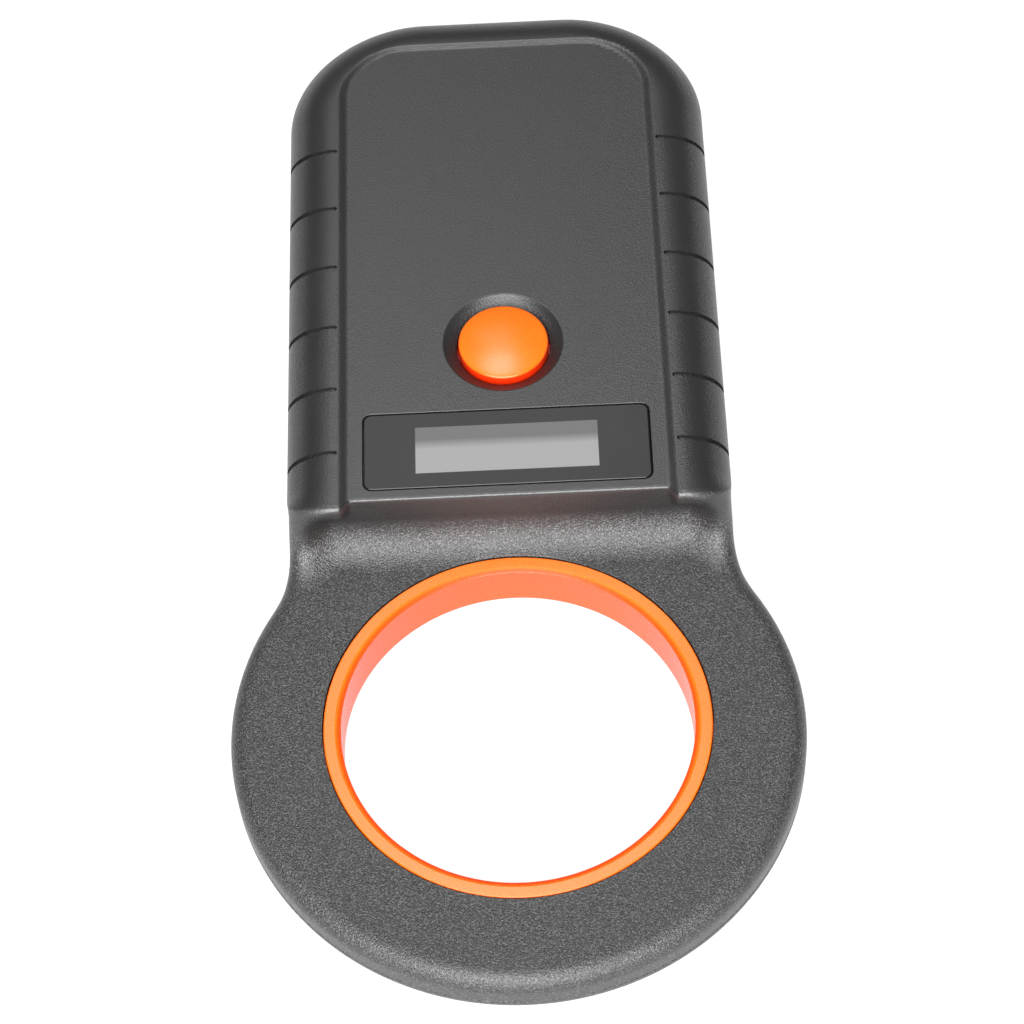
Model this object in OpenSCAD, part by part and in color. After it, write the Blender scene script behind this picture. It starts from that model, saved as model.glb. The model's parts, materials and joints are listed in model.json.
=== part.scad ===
// Handheld microchip scanner: a flat handle with a display and one button,
// and a ring shaped reading loop at the near end.
// The back rests on z = 0, the handle runs along +Y and the display faces +Z.

/* [Casing] */
// Overall length
body_len = 165.6; // [163:0.2:172]
// Width of the handle
handle_w = 64.6; // [63.6:0.2:67]
// Height of the side rails above the back
handle_h = 18.85; // [18.85:0.05:20]
// Radius of the handle's far corners
corner_r = 20.3; // [18:0.1:22]
// Width of the rounding along the handle's upper edge
side_round_w = 7.3; // [6:0.1:7.6]
// Height of the rounding along the handle's upper edge
side_round_h = 5.9; // [5:0.1:6.4]
// Outer radius of the reading loop
loop_r = 40.5; // [40.1:0.1:42]
// Height of the reading loop
loop_h = 7.75; // [7.6:0.05:8.4]
// Rounding of the loop's upper edge
loop_round = 2.6; // [2:0.1:3]
// Rounding of the lower edge all round
low_round = 1.2; // [0.6:0.1:1.6]
// Radius of the hollow where the handle meets the loop
neck_r = 13.5; // [11:0.5:16]
// Radius of the slope from the display panel down to the loop
slope_r = 5.6; // [4.6:0.1:5.6]
// Wall thickness of both covers
wall = 2; // [1.9:0.05:2.1]
// Height of the seam between the two covers
seam_z = 2.85; // [2.7:0.05:3.1]

/* [Panel and grip] */
// Width of the sunken panel between the rails
panel_w = 47.8; // [46:0.2:48.4]
// Depth of the sunken panel
panel_depth = 0.4; // [0.3:0.05:0.5]
// Corner radius of the panel's far end
panel_corner_r = 9.8; // [8:0.2:12]
// Distance from the loop's centre to the panel's near edge
panel_near = 31.04; // [30.6:0.02:31.4]
// How far the rails run past the panel's near edge
rail_overhang = 1.8; // [1:0.1:2]
// Distance from the loop's centre to the panel's far edge
panel_far = 116.3; // [114:0.1:117]
// Number of grip grooves on each side
groove_count = 6; // [3:1:6]
// Spacing of the grip grooves
groove_pitch = 11.25; // [9:0.05:11.5]
// Distance from the loop's centre to the farthest grip groove
groove_far = 95.63; // [90:0.01:98]
// Width of a grip groove
groove_w = 0.7; // [0.5:0.05:1]
// Depth of a grip groove
groove_depth = 0.5; // [0.3:0.05:0.7]

/* [Reading loop] */
// Outer radius of the coloured loop liner
liner_r = 27.3; // [27:0.1:27.6]
// Radius of the opening through the loop
aperture_r = 24.85; // [24:0.05:25]
// Outer radius of the antenna winding
coil_r = 33.2; // [31:0.1:33.4]

/* [Display] */
// Width of the display lens
lens_w = 41.4; // [40:0.1:42]
// Length of the display lens
lens_l = 13.07; // [12.6:0.01:13.4]
// Distance from the loop's centre to the lens centre
lens_at = 39.42; // [39.2:0.02:39.6]
// Width of the clear window
window_w = 26.4; // [24:0.2:27]
// Length of the clear window
window_l = 7.97; // [7:0.01:8.4]

/* [Button] */
// Distance from the loop's centre to the button
button_at = 58.17; // [57.5:0.01:60]
// Radius of the scan button
button_r = 6.75; // [6.4:0.05:6.8]
// Radius of the sunken dish around the button
dish_r = 8.86; // [8.4:0.02:9.2]
// Depth of the sunken dish
dish_depth = 1.3; // [1:0.05:1.4]
// How far the button's top stands above the panel
button_rise = 0.95; // [0.6:0.05:1.2]
// Travel of the button
button_travel = 0.5; // [0.25:0.05:0.5]

/* [Electronics] */
// Width of the main board
board_w = 48.8; // [47:0.2:49]
// Thickness of the main board
board_t = 1.6; // [1:0.1:1.6]
// Width of the battery cell
cell_w = 34; // [28:1:38]
// Length of the battery cell
cell_l = 50; // [40:1:52]
// Thickness of the battery cell
cell_t = 6; // [4:0.5:6]

/* [Hidden] */
$fn = 72;

// Driving places along Y
loop_y = loop_r - body_len / 2;
far_y = body_len / 2;
corner_y = far_y - corner_r;
corner_x = handle_w / 2 - corner_r;
panel_near_y = loop_y + panel_near;
rail_end_y = panel_near_y - rail_overhang;
lens_y = loop_y + lens_at;
button_y = loop_y + button_at;

// Neck hollow: it dips a little into the handle's side and into the loop, so that
// the surfaces cross at a clear angle
neck_dip = 0.15;
neck_x = handle_w / 2 + neck_r - neck_dip;
neck_y = loop_y + sqrt(pow(loop_r + neck_r - neck_dip, 2) - pow(neck_x, 2));

// Heights
panel_z = handle_h - panel_depth;
ceiling_z = handle_h - wall;
edge_steps = 7;
low_steps = 3;
overlap = 1;
gap = 0.15;
lens_gap = 0.12;
lens_t = 0.75;
lens_z = panel_z - 0.05 - lens_t;
tape_t = 0.1;
pocket_z = lens_z - tape_t;
lens_corner_r = 1.2;

// Fasteners
cover_screw_x = 27.4;
cover_screw_near = 39.3;
cover_screw_far = 103;
loop_screw_r = 36.4;
loop_screw_angles = [-45, -135];
screw_head_r = 2;
screw_head_h = 1.3;
screw_r = 1.1;
screw_seat_z = 1.6;
screw_top_z = 6.2;
boss_r = 2.5;
loop_boss_r = 2.2;
rear_boss_r = 1.9;
pilot_r = 0.95;
board_screw_x = 21.6;
board_screw_ys = [4.5, 67.5];
board_boss_r = 2.1;
board_screw_r = 0.95;
board_screw_l = 4.5;
board_head_r = 1.8;

// Board and what stands on it
board_top = 11.8;
board_low = board_top - board_t;
board_near_y = panel_near_y + wall + 0.6;
board_shoulder_y = corner_y + 1;
board_tongue_w = 18;
board_tongue_y = far_y - wall - 1.2;
holder_size = [29, 10.4];
glass_size = [30, 11.5, 1.45];
glass_top = ceiling_z - 0.1;
glass_low = glass_top - glass_size[2];
glass_rib = 1.4;
glass_play = 0.15;

// Button and switch
button_hole_r = button_r + 0.28;
collar_w = 2.4;
collar_z = 15.2;
button_top = panel_z + button_rise;
dome_r = 24;
flange_top = collar_z - 0.1;
flange_h = 1;
flange_r = button_r + 1.25;
button_wall = 1.1;
post_r = 1.5;
switch_size = 6;
switch_top = 15.3;
stem_r = 1.7;
stem_play = 0.1;
stem_top = 16.75;
stem_low = 13.1;
bore_low = stem_low - button_travel - 0.1;

// Loop internals
loop_low_z = wall + 0.1;
loop_high_z = loop_h - wall - 0.1;
liner_shoulder = 1.3;
bobbin_r = liner_r + liner_shoulder + 0.3;
bobbin_wall = 0.8;
bobbin_flange = 0.6;
lead_r = 0.35;
lead_x = 1.4;
lead_y = loop_y + 36.8;

// Battery
cell_low = wall + 0.5;
cell_y = loop_y + 72.3;
connector_size = [6, 4.4, 4.4];
connector_y = cell_y - cell_l / 2 - 7;

// Socket
usb_size = [7.5, 5.2, 2.5];
usb_wall = 0.35;
usb_y = far_y - 0.9 - usb_size[1];

// Label
label_size = [40, 26];
label_y = 34;
label_depth = 0.15;

// Rounded lower edge that ends at distance u from the middle, cut back by inset
function low_edge(u, inset) =
    let (r = max(low_round - inset, 0.2))
    [
        for (i = [0 : low_steps])
            let (t = -90 + 90 * i / low_steps)
            [u - r + r * cos(t), inset + r + r * sin(t)]
    ];

// Rounded upper edge of width a and height b below top
function high_edge(u, top, a, b, steps) = [
    for (i = [0 : steps])
        let (t = 90 * i / steps)
        [u - a + a * cos(t), top - b + b * sin(t)]
];

// Rounded side of the loop, from the lower edge to the upper one
function loop_edge(u, inset) =
    let (top = loop_h - inset, r = max(loop_round - inset, 0.2))
    concat(low_edge(u, inset), high_edge(u, top, r, r, low_steps));

// One side of a section through the handle, out to reach and cut back by inset
module edge_section(reach, inset) {
    u = reach - inset;
    top = handle_h - inset;
    side = high_edge(u, top, side_round_w - inset, side_round_h - inset, edge_steps);
    polygon(concat([[0, inset]], low_edge(u, inset), side, [[0, top]]));
}

// Section of the loop from its axis outwards
module loop_section(inset) {
    polygon(concat([[0, inset]], loop_edge(loop_r - inset, inset), [[0, loop_h - inset]]));
}

// Cutter that hollows the neck: the loop's edge, turned round to face inwards
module neck_cutter(inset) {
    edge = [for (p = loop_edge(loop_r - inset, inset)) [neck_r + loop_r - p[0], p[1]]];
    translate([neck_x, neck_y, 0])
        rotate_extrude()
            polygon(concat([[0, inset]], edge, [[0, loop_h - inset]]));
}

// Section of the short straight neck below the handle's end
module neck_section(inset) {
    u = handle_w / 2 - inset;
    top = loop_h - inset;
    polygon(concat([[0, inset]], low_edge(u, inset), [[u, top], [0, top]]));
}

// The handle, its four far end stretches meeting face to face
module handle_form(inset, near_y) {
    for (side = [0, 1])
        mirror([side, 0, 0]) {
            translate([0, corner_y, 0])
                rotate([90, 0, 0])
                    linear_extrude(height = corner_y - near_y)
                        edge_section(handle_w / 2, inset);
            translate([corner_x, corner_y, 0])
                rotate_extrude(angle = 90)
                    edge_section(corner_r, inset);
            translate([0, corner_y, 0])
                rotate([90, 0, 90])
                    linear_extrude(height = corner_x)
                        edge_section(corner_r, inset);
        }
}

// The loop and the neck that joins it to the handle
module loop_form(inset, near_y) {
    straight_y = neck_y - 3;
    translate([0, loop_y, 0])
        rotate_extrude()
            loop_section(inset);
    for (side = [0, 1])
        mirror([side, 0, 0]) {
            difference() {
                translate([0, 0, inset])
                    linear_extrude(height = loop_h - 2 * inset)
                        polygon([[0, loop_y], [neck_x, neck_y], [0, neck_y]]);
                neck_cutter(inset);
            }
            translate([0, near_y + overlap, 0])
                rotate([90, 0, 0])
                    linear_extrude(height = near_y + overlap - straight_y)
                        neck_section(inset);
        }
}

module casing_form(inset, near_y) {
    handle_form(inset, near_y);
    loop_form(inset, near_y);
}

module half_space(low, high) {
    translate([-loop_r - overlap, -body_len / 2 - overlap, low])
        cube([2 * (loop_r + overlap), body_len + 2 * overlap, high - low]);
}

// Rounded slab, centred in X and Y
module rounded_slab(size, corner, height) {
    linear_extrude(height = height)
        difference() {
            square(size, center = true);
            for (x = [-1, 1], y = [-1, 1])
                translate([x * (size[0] / 2 - corner), y * (size[1] / 2 - corner)])
                    difference() {
                        translate([x > 0 ? 0 : -corner - 1, y > 0 ? 0 : -corner - 1])
                            square(corner + 1);
                        circle(r = corner);
                    }
        }
}

module panel_outline() {
    half = panel_w / 2;
    straight = loop_y + panel_far - panel_corner_r;
    translate([-half, rail_end_y - overlap])
        square([panel_w, straight - rail_end_y + overlap]);
    translate([-half + panel_corner_r, straight - 0.01])
        square([panel_w - 2 * panel_corner_r, panel_corner_r + 0.01]);
    for (x = [-1, 1])
        translate([x * (half - panel_corner_r), straight])
            circle(r = panel_corner_r);
}

// Sunken panel, and the step back of the end wall between the rails
module panel_cut() {
    translate([0, 0, panel_z])
        linear_extrude(height = overlap + panel_depth)
            panel_outline();
    translate([-panel_w / 2, rail_end_y - overlap, loop_h])
        cube([panel_w, rail_overhang + overlap, handle_h]);
}

// Hollow slope between the end wall and the top of the loop
module slope() {
    translate([-handle_w / 2, panel_near_y, loop_h])
        rotate([90, 0, 90])
            linear_extrude(height = handle_w)
                difference() {
                    translate([-slope_r, -overlap])
                        square([slope_r + 0.6, slope_r + overlap]);
                    translate([-slope_r, slope_r])
                        circle(r = slope_r);
                }
}

module groove_cuts() {
    for (i = [0 : groove_count - 1], side = [0, 1])
        mirror([side, 0, 0])
            translate([0, loop_y + groove_far - i * groove_pitch + groove_w / 2, 0])
                rotate([90, 0, 0])
                    linear_extrude(height = groove_w)
                        difference() {
                            translate([panel_w / 2 + 0.6, loop_h])
                                square([handle_w / 2, handle_h]);
                            edge_section(handle_w / 2, groove_depth);
                        }
}

// Puts its children at each screw that joins the covers
module at_cover_screws() {
    for (x = [-1, 1], d = [cover_screw_near, cover_screw_far])
        translate([x * cover_screw_x, loop_y + d, 0])
            children();
    at_loop_screws()
        children();
}

module at_loop_screws() {
    for (a = loop_screw_angles)
        translate([loop_screw_r * cos(a), loop_y + loop_screw_r * sin(a), 0])
            children();
}

module at_board_screws() {
    for (x = [-1, 1], y = board_screw_ys)
        translate([x * board_screw_x, board_near_y + y, 0])
            children();
}

// What stands inside the front cover: screw bosses, button collar and display ribs
module front_cover_ribs() {
    for (x = [-1, 1], d = [cover_screw_near, cover_screw_far])
        translate([x * cover_screw_x, loop_y + d, seam_z + 0.5])
            cylinder(r = boss_r, h = handle_h);
    at_loop_screws()
        translate([0, 0, seam_z + 0.5])
            cylinder(r = loop_boss_r, h = loop_h);
    at_board_screws()
        translate([0, 0, board_top])
            cylinder(r = board_boss_r, h = handle_h);
    translate([0, button_y, collar_z])
        cylinder(r = button_hole_r + collar_w, h = handle_h);
    translate([0, lens_y, glass_low + 0.1])
        linear_extrude(height = handle_h)
            difference() {
                square([glass_size[0], glass_size[1]] + [1, 1] * 2 * glass_rib, center = true);
                square([glass_size[0], glass_size[1]] + [1, 1] * 2 * glass_play, center = true);
            }
}

module front_cover_holes() {
    translate([0, loop_y, 0])
        cylinder(r = liner_r + gap, h = handle_h);
    translate([0, lens_y, pocket_z])
        rounded_slab([lens_w + 2 * lens_gap, lens_l + 2 * lens_gap], lens_corner_r + lens_gap, 2);
    translate([0, lens_y, ceiling_z - overlap])
        rounded_slab([window_w + 1, window_l + 1], 0.5, 3);
    translate([0, button_y, panel_z - dish_depth])
        cylinder(r1 = button_hole_r, r2 = dish_r, h = dish_depth);
    translate([0, button_y, panel_z])
        cylinder(r = dish_r, h = 1);
    translate([0, button_y, collar_z - overlap])
        cylinder(r = button_hole_r, h = handle_h);
    at_cover_screws()
        cylinder(r = pilot_r, h = screw_top_z + 0.3);
    at_board_screws()
        translate([0, 0, board_top - overlap])
            cylinder(r = pilot_r - 0.1, h = board_screw_l + overlap - board_t + 0.4);
    translate([-usb_size[0] / 2 - 0.35, far_y - 6, board_low - usb_size[2] - 0.45])
        cube([usb_size[0] + 0.7, 8, usb_size[2] + 0.8]);
    translate([-5.6, far_y - 0.8, board_low - usb_size[2] - 1.9])
        cube([11.2, 2, 6.2]);
}

module front_cover() {
    color("#2b2b2d")
        difference() {
            union() {
                difference() {
                    intersection() {
                        casing_form(0, rail_end_y);
                        half_space(seam_z, handle_h + overlap);
                    }
                    panel_cut();
                    groove_cuts();
                }
                slope();
            }
            difference() {
                casing_form(wall, panel_near_y + wall);
                front_cover_ribs();
            }
            front_cover_holes();
        }
}

// Tongues that key the rear cover inside the front cover
module rear_cover_tongues() {
    tongue_l = 46;
    for (x = [-1, 1])
        translate([x * (handle_w / 2 - wall - 0.6) - 0.45, 8, wall - 0.2])
            cube([0.9, tongue_l, seam_z - wall + 1.2]);
}

module rear_cover() {
    color("#2b2b2d")
        difference() {
            union() {
                difference() {
                    intersection() {
                        casing_form(0, rail_end_y);
                        half_space(-overlap, seam_z);
                    }
                    casing_form(wall, panel_near_y + wall);
                }
                at_cover_screws()
                    translate([0, 0, wall - 0.2])
                        cylinder(r = rear_boss_r, h = seam_z + 0.6 - wall);
                rear_cover_tongues();
            }
            translate([0, loop_y, -overlap])
                cylinder(r = liner_r + gap, h = handle_h);
            at_cover_screws() {
                translate([0, 0, -overlap])
                    cylinder(r = screw_head_r + 0.2, h = screw_seat_z + overlap);
                cylinder(r = screw_r + 0.1, h = handle_h);
            }
            translate([0, label_y, -overlap])
                rounded_slab(label_size + [0.4, 0.4], 2.2, overlap + label_depth);
        }
}

module loop_liner() {
    lip = 0.8;
    high = loop_h - 0.05;
    low = 0.15;
    color("#ff7a2a")
        translate([0, loop_y, 0])
            rotate_extrude()
                polygon([
                    [aperture_r, low + 0.4],
                    [aperture_r + 0.4, low],
                    [liner_r, low],
                    [liner_r, loop_low_z],
                    [liner_r + liner_shoulder, loop_low_z],
                    [liner_r + liner_shoulder, loop_high_z],
                    [liner_r, loop_high_z],
                    [liner_r, high],
                    [aperture_r + lip, high],
                    [aperture_r + lip * 0.3, high - lip * 0.3],
                    [aperture_r, high - lip]
                ]);
}

module scan_button() {
    color("#ff7a2a")
        translate([0, button_y, 0])
            rotate_extrude()
                difference() {
                    union() {
                        intersection() {
                            translate([0, button_top - dome_r])
                                circle(r = dome_r, $fn = 200);
                            translate([0, flange_top - 0.5])
                                square([button_r, handle_h]);
                        }
                        translate([0, flange_top - flange_h])
                            square([flange_r, flange_h]);
                    }
                    translate([post_r, 0])
                        square([button_r - button_wall - post_r, button_top - 2]);
                    translate([-1, 0])
                        square([post_r + 1.01, stem_top + 0.05]);
                    translate([-dome_r - 1, 0])
                        square([dome_r + 1, handle_h * 2]);
                }
}

module display_lens() {
    color("#17181a")
        translate([0, lens_y, lens_z])
            rounded_slab([lens_w, lens_l], lens_corner_r, lens_t);
}

module lens_adhesive() {
    color("#101010")
        translate([0, lens_y, pocket_z])
            difference() {
                rounded_slab([lens_w - 0.6, lens_l - 0.6], lens_corner_r, tape_t);
                translate([0, 0, -overlap])
                    rounded_slab([window_w + 1.6, window_l + 1.6], 0.5, 3);
            }
}

module display_glass() {
    color("#3a4a4c")
        translate([-glass_size[0] / 2, lens_y - glass_size[1] / 2, glass_low])
            cube(glass_size);
}

// Flat cable that folds from the glass down to the board
module display_ribbon() {
    bend_r = (glass_low - board_top) / 2;
    ribbon_t = 0.15;
    ribbon_w = 9;
    ribbon_tab = 0.7;
    color("#b8732e")
        translate([glass_size[0] / 2 + 0.35, lens_y + ribbon_w / 2, board_top + bend_r])
            rotate([90, 0, 0])
                linear_extrude(height = ribbon_w) {
                    difference() {
                        circle(r = bend_r);
                        circle(r = bend_r - ribbon_t);
                        translate([-2 * bend_r, -2 * bend_r])
                            square([2 * bend_r, 4 * bend_r]);
                    }
                    for (low = [-bend_r, bend_r - ribbon_t])
                        translate([-ribbon_tab, low])
                            square([ribbon_tab + 0.01, ribbon_t]);
                }
}

module display_holder() {
    color("#e8e6df")
        translate([0, lens_y, board_top])
            difference() {
                rounded_slab(holder_size, 0.6, glass_low - board_top);
                translate([0, 0, -overlap])
                    rounded_slab(holder_size - [3, 3], 0.6, handle_h);
            }
}

module main_board() {
    board_l = board_shoulder_y - board_near_y;
    color("#1f6b3a")
        difference() {
            translate([0, 0, board_low])
                union() {
                    translate([0, board_near_y + board_l / 2, 0])
                        rounded_slab([board_w, board_l], 1.5, board_t);
                    translate([-board_tongue_w / 2, board_shoulder_y - overlap, 0])
                        cube([board_tongue_w, board_tongue_y - board_shoulder_y + overlap, board_t]);
                }
            at_board_screws()
                translate([0, 0, board_low - overlap])
                    cylinder(r = board_screw_r + 0.2, h = board_t + 2 * overlap);
        }
}

// A flat packed chip with pins along two or four sides
module chip(body, height, pins, pitch, sides) {
    pin = [0.3, 0.9, 0.2];
    translate([-body[0] / 2, -body[1] / 2, 0.1])
        cube([body[0], body[1], height - 0.1]);
    for (s = [0 : sides - 1]) {
        turn = sides == 4 ? 90 * s : 180 * s;
        reach = (turn % 180 == 0 ? body[1] : body[0]) / 2;
        rotate([0, 0, turn])
            for (i = [0 : pins - 1])
                translate([(i - (pins - 1) / 2) * pitch - pin[0] / 2, reach - 0.1, 0])
                    cube(pin);
    }
}

module microcontroller() {
    color("#1b1b1d")
        translate([-9, board_near_y + 44, board_top])
            chip([7, 7], 1.5, 12, 0.5, 4);
}

module reader_chip() {
    color("#1b1b1d")
        translate([15.5, board_near_y + 21, board_top])
            chip([9.9, 3.9], 1.7, 8, 1.2, 2);
}

module crystal() {
    can = 2.2;
    color("#c9ccd0")
        translate([-9, board_near_y + 53.5, board_top])
            linear_extrude(height = 3.4) {
                translate([-3.3, -can])
                    square([6.6, 2 * can]);
                for (x = [-3.3, 3.3])
                    translate([x, 0])
                        circle(r = can);
            }
}

module power_inductor() {
    color("#3b3b3f")
        translate([15, board_near_y + 58, board_top])
            difference() {
                rounded_slab([6, 6], 1.2, 2.8);
                translate([0, 0, 2])
                    difference() {
                        cylinder(r = 2.6, h = 2);
                        cylinder(r = 1.5, h = 2);
                    }
            }
}

// A grid of small blocks on top of the board
module chip_grid(corner, size, columns, rows, step) {
    for (i = [0 : columns - 1], j = [0 : rows - 1])
        translate([corner[0] + i * step[0], board_near_y + corner[1] + j * step[1], board_top])
            cube(size);
}

module chip_capacitors() {
    color("#b99a6b") {
        chip_grid([-20, 17], [2, 1.25, 1.1], 2, 5, [3.4, 2.2]);
        chip_grid([-20, 41], [1.6, 0.8, 0.8], 2, 4, [2.8, 2]);
    }
}

module chip_resistors() {
    color("#1d1d20") {
        chip_grid([11.5, 28], [1.6, 0.8, 0.5], 3, 4, [2.8, 2]);
        chip_grid([0, 50.6], [1.6, 0.8, 0.5], 3, 3, [2.8, 2]);
    }
}

module buzzer() {
    color("#141416")
        translate([14.5, board_near_y + 45, board_top])
            difference() {
                cylinder(r = 6, h = 4.4);
                translate([0, 0, 3.4])
                    cylinder(r = 1, h = 2);
            }
}

module switch_body() {
    color("#2a2a2c")
        translate([0, button_y, 0])
            difference() {
                translate([0, 0, board_top])
                    rounded_slab([switch_size, switch_size], 0.4, switch_top - board_top);
                translate([0, 0, bore_low])
                    cylinder(r = stem_r + stem_play, h = handle_h);
            }
}

module switch_stem() {
    color("#c8b98a")
        translate([0, button_y, stem_low])
            cylinder(r = stem_r, h = stem_top - stem_low);
}

module antenna_bobbin() {
    outer = coil_r + 0.5;
    color("#d8d4c8")
        translate([0, loop_y, 0])
            rotate_extrude()
                polygon([
                    [bobbin_r, loop_low_z],
                    [outer, loop_low_z],
                    [outer, loop_low_z + bobbin_flange],
                    [bobbin_r + bobbin_wall, loop_low_z + bobbin_flange],
                    [bobbin_r + bobbin_wall, loop_high_z - bobbin_flange],
                    [outer, loop_high_z - bobbin_flange],
                    [outer, loop_high_z],
                    [bobbin_r, loop_high_z]
                ]);
}

module antenna_coil() {
    low = loop_low_z + bobbin_flange + 0.02;
    high = loop_high_z - bobbin_flange - 0.02;
    color("#b5651d")
        translate([0, loop_y, low])
            difference() {
                cylinder(r = coil_r, h = high - low);
                translate([0, 0, -overlap])
                    cylinder(r = bobbin_r + bobbin_wall + 0.02, h = handle_h);
            }
}

// Two enamelled wires from the winding out and up to the board
module antenna_leads() {
    run_z = (loop_low_z + loop_high_z) / 2;
    start_y = loop_y + sqrt(pow(coil_r, 2) - pow(lead_x + lead_r, 2)) + 0.1;
    color("#b5651d")
        for (x = [-lead_x, lead_x]) {
            translate([x, start_y, run_z])
                rotate([-90, 0, 0])
                    cylinder(r = lead_r, h = lead_y - start_y);
            translate([x, lead_y, run_z])
                sphere(r = lead_r);
            translate([x, lead_y, run_z])
                cylinder(r = lead_r, h = board_low - run_z);
        }
}

module battery_cell() {
    color("#b9bcc2")
        translate([0, cell_y, cell_low])
            rounded_slab([cell_w, cell_l], 2.5, cell_t);
}

module battery_tape() {
    color("#e9e4d2")
        translate([0, cell_y, wall])
            rounded_slab([cell_w - 8, cell_l - 10], 1, cell_low - wall);
}

module battery_connector() {
    color("#f2efe6")
        translate([-connector_size[0] / 2, connector_y - connector_size[1] / 2, board_low - connector_size[2]])
            difference() {
                cube(connector_size);
                translate([1, 1, -overlap])
                    cube([connector_size[0] - 2, connector_size[1] - 2, 2]);
            }
}

module battery_leads() {
    start_y = connector_y + connector_size[1] / 2;
    lead_l = cell_y - cell_l / 2 - start_y;
    color("#c23a2e")
        for (x = [-1, 1])
            translate([x * 1.2, start_y, board_low - connector_size[2] + 1])
                rotate([-90, 0, 0])
                    cylinder(r = 0.65, h = lead_l);
}

module usb_socket() {
    color("#c9ccd0")
        translate([-usb_size[0] / 2, usb_y, board_low - usb_size[2]])
            union() {
                difference() {
                    cube(usb_size);
                    translate([usb_wall, 0.8, usb_wall])
                        cube([usb_size[0] - 2 * usb_wall, usb_size[1], usb_size[2] - 2 * usb_wall]);
                }
                translate([1.9, 0.5, usb_size[2] / 2])
                    cube([usb_size[0] - 3.8, usb_size[1] - 1.2, 0.5]);
            }
}

// Pan head screw standing on its head, with a cross recess below
module screw(head_r, head_h, shank_r, shank_l) {
    difference() {
        union() {
            translate([0, 0, -head_h])
                cylinder(r = head_r, h = head_h);
            translate([0, 0, -0.1])
                cylinder(r = shank_r, h = shank_l + 0.1);
        }
        for (turn = [0, 90])
            rotate([0, 0, turn])
                translate([-head_r * 0.6, -0.25, -head_h - 1])
                    cube([head_r * 1.2, 0.5, 1.6]);
    }
}

module board_screws() {
    color("#b7b9bd")
        at_board_screws()
            translate([0, 0, board_low])
                screw(board_head_r, 1.1, pilot_r - 0.15, board_screw_l);
}

module cover_screws() {
    color("#b7b9bd")
        at_cover_screws()
            translate([0, 0, screw_seat_z])
                screw(screw_head_r, screw_head_h, pilot_r - 0.05, screw_top_z - screw_seat_z);
}

module rear_label() {
    color("#d9d9d6")
        translate([0, label_y, 0.03])
            rounded_slab(label_size, 2, label_depth - 0.03);
}

front_cover();
rear_cover();
loop_liner();
scan_button();
display_lens();
lens_adhesive();
display_glass();
display_ribbon();
display_holder();
main_board();
microcontroller();
reader_chip();
crystal();
power_inductor();
chip_capacitors();
chip_resistors();
buzzer();
switch_body();
switch_stem();
antenna_bobbin();
antenna_coil();
antenna_leads();
battery_cell();
battery_tape();
battery_connector();
battery_leads();
usb_socket();
board_screws();
cover_screws();
rear_label();
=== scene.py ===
import json
import math

import bmesh
import bpy
import numpy as np
from mathutils import Matrix, Vector


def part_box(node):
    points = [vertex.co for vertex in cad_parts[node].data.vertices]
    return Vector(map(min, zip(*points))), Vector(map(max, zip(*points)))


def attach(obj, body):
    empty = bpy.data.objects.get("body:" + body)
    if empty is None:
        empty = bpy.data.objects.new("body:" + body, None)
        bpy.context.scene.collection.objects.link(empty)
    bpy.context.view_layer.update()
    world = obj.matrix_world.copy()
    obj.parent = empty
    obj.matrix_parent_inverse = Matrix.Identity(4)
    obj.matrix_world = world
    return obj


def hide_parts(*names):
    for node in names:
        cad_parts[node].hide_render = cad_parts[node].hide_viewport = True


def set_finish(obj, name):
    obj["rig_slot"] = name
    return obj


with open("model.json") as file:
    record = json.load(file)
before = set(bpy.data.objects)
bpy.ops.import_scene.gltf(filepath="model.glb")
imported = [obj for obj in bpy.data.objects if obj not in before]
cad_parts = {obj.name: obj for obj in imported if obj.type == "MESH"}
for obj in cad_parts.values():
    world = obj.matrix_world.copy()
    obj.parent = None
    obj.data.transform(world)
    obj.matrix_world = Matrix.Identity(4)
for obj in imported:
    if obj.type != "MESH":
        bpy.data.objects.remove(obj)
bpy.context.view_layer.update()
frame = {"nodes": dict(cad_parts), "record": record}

MM = 0.001


# ---------------------------------------------------------------- places from the frame

def box_mm(node):
    """Lowest and highest corner of a CAD node, in millimetres."""
    low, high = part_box(node)
    return np.array(low) / MM, np.array(high) / MM


front_low, front_high = box_mm("front_cover")
liner_low, liner_high = box_mm("loop_liner")
lens_low, lens_high = box_mm("display_lens")
button_low, button_high = box_mm("scan_button")
usb_low, usb_high = box_mm("usb_socket")
label_low, label_high = box_mm("rear_label")

SEAM_Z = front_low[2]
TOP_Z = front_high[2]
LOOP_R = front_high[0]
FAR_Y = front_high[1]
LOOP_Y = front_low[1] + LOOP_R
LOOP_Z = liner_high[2] + 0.05
BUTTON_Y = (button_low[1] + button_high[1]) / 2
LENS_Y = (lens_low[1] + lens_high[1]) / 2

# Casing, in millimetres
HANDLE_HALF = 32.2
CORNER_R = 21.5
SIDE_W = 7.3
SIDE_H = 5.9
FAR_SIDE_W = 9.0
FAR_SIDE_H = 8.0
LOOP_EDGE = 2.6
LOW_EDGE = 2.4
NECK_R = 20.0
NECK_X = HANDLE_HALF + NECK_R
NECK_Y = LOOP_Y + math.sqrt((LOOP_R + NECK_R) ** 2 - NECK_X ** 2)
PANEL_HALF = 23.55
PANEL_FAR = 74.0
PANEL_CORNER = 9.8
PANEL_DEPTH = 0.4
PANEL_NEAR = -11.26
PANEL_Z = TOP_Z - PANEL_DEPTH
RECESS_START = -0.7
RECESS_WIDTH = 1.6
FAR_NARROWER = 0.55
RAIL_OVERHANG = 1.8
RAIL_INNER = 22.55
RAIL_BLEND = 1.8
LIP_LOW = 13.6
LIP_HIGH = 17.2
OUTER_START = 25.0
OUTER_BLEND = 5.0
OUTER_EDGE_R = 1.8
OUTER_SLOPE_R = 7.2
OUTER_SHIFT = 1.1
NEAR_START = -7.5
NEAR_BLEND = 5.0
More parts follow.
